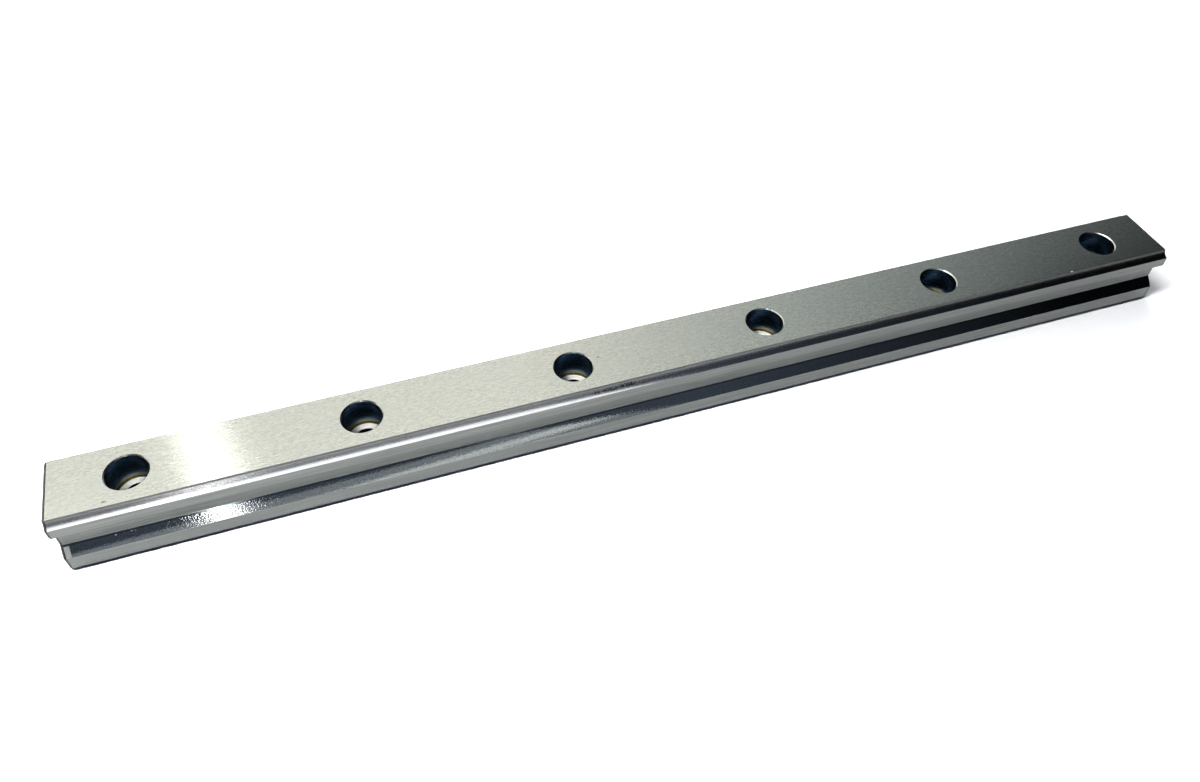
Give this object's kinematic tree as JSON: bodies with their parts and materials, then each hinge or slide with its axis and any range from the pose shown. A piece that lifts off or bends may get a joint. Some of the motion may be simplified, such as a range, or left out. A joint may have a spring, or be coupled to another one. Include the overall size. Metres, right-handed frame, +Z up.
{
  "type": "linear guide rail",
  "caption": "Profiled ball guide rail of ground steel, screwed down through counterbored holes, for a sliding carriage block.",
  "frame": {"origin": "middle of the mounting face, at the height of the surface that the rail lies on", "axes": "+X along the rail, +Y across it to the rear, +Z up out of the top face, the way the screws leave"},
  "size_m": [0.34, 0.023, 0.02],
  "materials": {
    "ground_steel": "satin, ground lengthwise"
  },
  "bodies": {
    "root": {"guide_rail": "ground_steel"}
  },
  "joints": []
}
